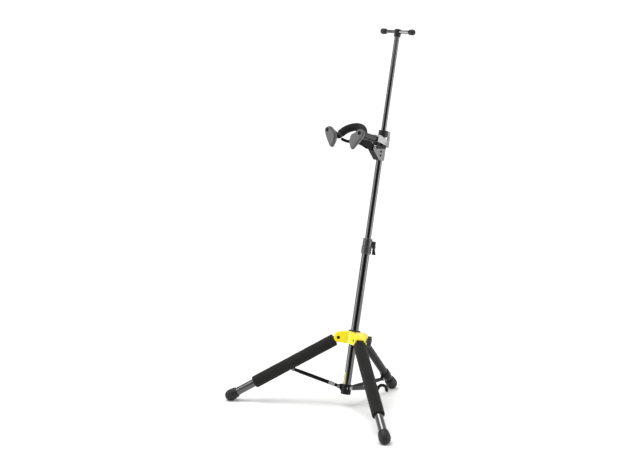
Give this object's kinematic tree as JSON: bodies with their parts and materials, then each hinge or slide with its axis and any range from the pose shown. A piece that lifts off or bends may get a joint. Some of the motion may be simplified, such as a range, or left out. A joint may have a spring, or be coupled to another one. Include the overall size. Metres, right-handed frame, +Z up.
{
  "type": "cello stand",
  "caption": "Folding tripod stand for a cello: padded front legs, a leaning telescopic mast, a padded neck yoke with self-closing gates and a bow hanger bar on top.",
  "frame": {"origin": "centre of the box around the open stand, on the floor", "axes": "+Z up, front (instrument side) towards -Y, mast leans back towards +Y"},
  "size_m": [0.7348, 0.5318, 1.3046],
  "materials": {
    "gloss_black_tube": "gloss black powder coat",
    "leg_tube_back": "satin dark grey",
    "end_plug": "matte black",
    "base_bracket": "gloss black",
    "rivet": "satin steel",
    "hook": "black",
    "clutch": "dark grey moulded",
    "lever": "dark grey moulded",
    "bush": "black nylon",
    "cap": "black rubber",
    "hub_yellow": "yellow moulded",
    "knob": "dark grey moulded",
    "leg_fitting": "black nylon",
    "foot_rubber": "dark grey rubber",
    "strut_clamp": "satin black",
    "strut": "gloss black",
    "foam": "dark grey foam with a smooth skin",
    "bracket": "grey satin",
    "trip_lever": "black satin",
    "hood": "grey moulded",
    "yoke_arm": "dark grey",
    "prong": "black moulded",
    "gate": "mid grey moulded"
  },
  "bodies": {
    "stand": {"lower_mast_tube": "gloss_black_tube", "base_end_plug": "end_plug", "base_bracket": "base_bracket", "floor_hook": "hook", "clutch_sleeve": "clutch", "clutch_head": "clutch", "clutch_bush": "bush", "clutch_lever_pin": "rivet"},
    "hub": {"hub_body": "hub_yellow", "hub_bush": "bush", "leg_pin_left": "rivet", "leg_pin_right": "rivet", "leg_pin_back": "rivet"},
    "hub_knob": {"hub_knob": "knob", "hub_knob_screw": "rivet"},
    "clutch_lever": {"clutch_lever": "lever"},
    "mast_middle": {"middle_tube": "gloss_black_tube", "middle_tube_guide": "bush", "yoke_bracket": "bracket", "bracket_screw_upper": "rivet", "bracket_screw_lower": "rivet", "top_clamp_ring": "clutch", "top_clamp_pin": "rivet", "trip_pin": "rivet"},
    "top_clamp_lever": {"top_clamp_lever": "lever"},
    "bow_hanger": {"top_rod": "gloss_black_tube", "hanger_block": "cap", "hanger_bar": "gloss_black_tube", "hanger_knob_left": "cap", "hanger_knob_right": "cap"},
    "yoke": {"yoke_hood": "hood", "yoke_arm": "yoke_arm", "arch_foam": "foam", "prong_left": "prong", "prong_right": "prong", "gate_pin_left": "rivet", "gate_pin_right": "rivet"},
    "gate_left": {"gate_left": "gate"},
    "gate_right": {"gate_right": "gate"},
    "trip_lever": {"trip_lever": "trip_lever"},
    "leg_left": {"leg_tube_left": "gloss_black_tube", "leg_fitting_left": "leg_fitting", "foot_left": "foot_rubber", "strut_clamp_left": "strut_clamp", "strut_pin_left": "rivet", "leg_foam_left": "foam"},
    "strut_left": {"strut_bar_left": "strut"},
    "leg_right": {"leg_tube_right": "gloss_black_tube", "leg_fitting_right": "leg_fitting", "foot_right": "foot_rubber", "strut_clamp_right": "strut_clamp", "strut_pin_right": "rivet", "leg_foam_right": "foam"},
    "strut_right": {"strut_bar_right": "strut"},
    "leg_back": {"leg_tube_back": "leg_tube_back", "leg_fitting_back": "leg_fitting", "foot_back": "foot_rubber", "strut_clamp_back": "strut_clamp", "strut_pin_back": "rivet"},
    "strut_back": {"strut_bar_back": "strut"}
  },
  "joints": [
    {"name": "hub_slide", "type": "slide", "parent": "stand", "child": "hub", "axis": [0, 0.2164, 0.9763], "range_m": [0, 0.09]},
    {"name": "hub_knob_turn", "type": "hinge", "parent": "hub", "child": "hub_knob", "pos_m": [0, 0.01781, 0.23263], "axis": [0.866, 0.4881, -0.1082], "range_deg": [0, 360]},
    {"name": "clutch_squeeze", "type": "hinge", "parent": "stand", "child": "clutch_lever", "pos_m": [0.02234, 0.10154, 0.55075], "axis": [-0.5, 0.8455, -0.1874], "range_deg": [0, 6], "stiffness_Nm_per_rad": 0.4, "springref_deg": -6.88},
    {"name": "mast_height", "type": "slide", "parent": "stand", "child": "mast_middle", "axis": [0, 0.2164, 0.9763], "range_m": [-0.27, 0.08]},
    {"name": "top_clamp_flip", "type": "hinge", "parent": "mast_middle", "child": "top_clamp_lever", "pos_m": [0.01055, 0.19196, 0.93376], "axis": [0.866, -0.4881, 0.1082], "range_deg": [0, 70]},
    {"name": "bow_rod_slide", "type": "slide", "parent": "mast_middle", "child": "bow_hanger", "axis": [0, 0.2164, 0.9763], "range_m": [-0.3, 0.06]},
    {"name": "yoke_tilt", "type": "hinge", "parent": "mast_middle", "child": "yoke", "pos_m": [0, 0.17207, 0.91], "axis": [1, 0, 0], "range_deg": [0, 8], "stiffness_Nm_per_rad": 6, "springref_deg": -14.32},
    {"name": "trip_lever_tilt", "type": "hinge", "parent": "mast_middle", "child": "trip_lever", "pos_m": [0, 0.11307, 0.90259], "axis": [1, 0, 0], "range_deg": [0, 12.6]},
    {"name": "gate_left_swing", "type": "hinge", "parent": "yoke", "child": "gate_left", "pos_m": [-0.0694, -0.03557, 0.97088], "axis": [-0.1045, -0.9709, 0.2153], "range_deg": [0, 74.5]},
    {"name": "gate_right_swing", "type": "hinge", "parent": "yoke", "child": "gate_right", "pos_m": [0.0694, -0.03557, 0.97088], "axis": [-0.1045, 0.9709, -0.2153], "range_deg": [0, 74.5]},
    {"name": "leg_left_fold", "type": "hinge", "parent": "hub", "child": "leg_left", "pos_m": [-0.04375, -0.00816, 0.23839], "axis": [0.5195, -0.8342, 0.1849], "range_deg": [0, 10.76]},
    {"name": "strut_left_swing", "type": "hinge", "parent": "leg_left", "child": "strut_left", "pos_m": [-0.16719, -0.11118, 0.12047], "axis": [-0.5195, 0.8342, -0.1849], "range_deg": [0, 34.69]},
    {"name": "leg_right_fold", "type": "hinge", "parent": "hub", "child": "leg_right", "pos_m": [0.04375, -0.00816, 0.23839], "axis": [0.5195, 0.8342, -0.1849], "range_deg": [0, 10.76]},
    {"name": "strut_right_swing", "type": "hinge", "parent": "leg_right", "child": "strut_right", "pos_m": [0.16719, -0.11118, 0.12047], "axis": [-0.5195, -0.8342, 0.1849], "range_deg": [0, 34.69]},
    {"name": "leg_back_fold", "type": "hinge", "parent": "hub", "child": "leg_back", "pos_m": [0, 0.06779, 0.22155], "axis": [-1, 0, 0], "range_deg": [0, 9.3]},
    {"name": "strut_back_swing", "type": "hinge", "parent": "leg_back", "child": "strut_back", "pos_m": [0, 0.18561, 0.04853], "axis": [1, 0, 0], "range_deg": [0, 32.49]}
  ],
  "couplings": [
    {"joint": "trip_lever_tilt", "follows": "yoke_tilt", "ratio": 1.56},
    {"joint": "gate_left_swing", "follows": "yoke_tilt", "ratio": 9.25},
    {"joint": "gate_right_swing", "follows": "yoke_tilt", "ratio": 9.25},
    {"joint": "leg_left_fold", "follows": "hub_slide", "rad_per_m": 2.0769},
    {"joint": "strut_left_swing", "follows": "hub_slide", "rad_per_m": 6.7183},
    {"joint": "leg_right_fold", "follows": "hub_slide", "rad_per_m": 2.0769},
    {"joint": "strut_right_swing", "follows": "hub_slide", "rad_per_m": 6.7183},
    {"joint": "leg_back_fold", "follows": "hub_slide", "rad_per_m": 1.7938},
    {"joint": "strut_back_swing", "follows": "hub_slide", "rad_per_m": 6.29}
  ]
}
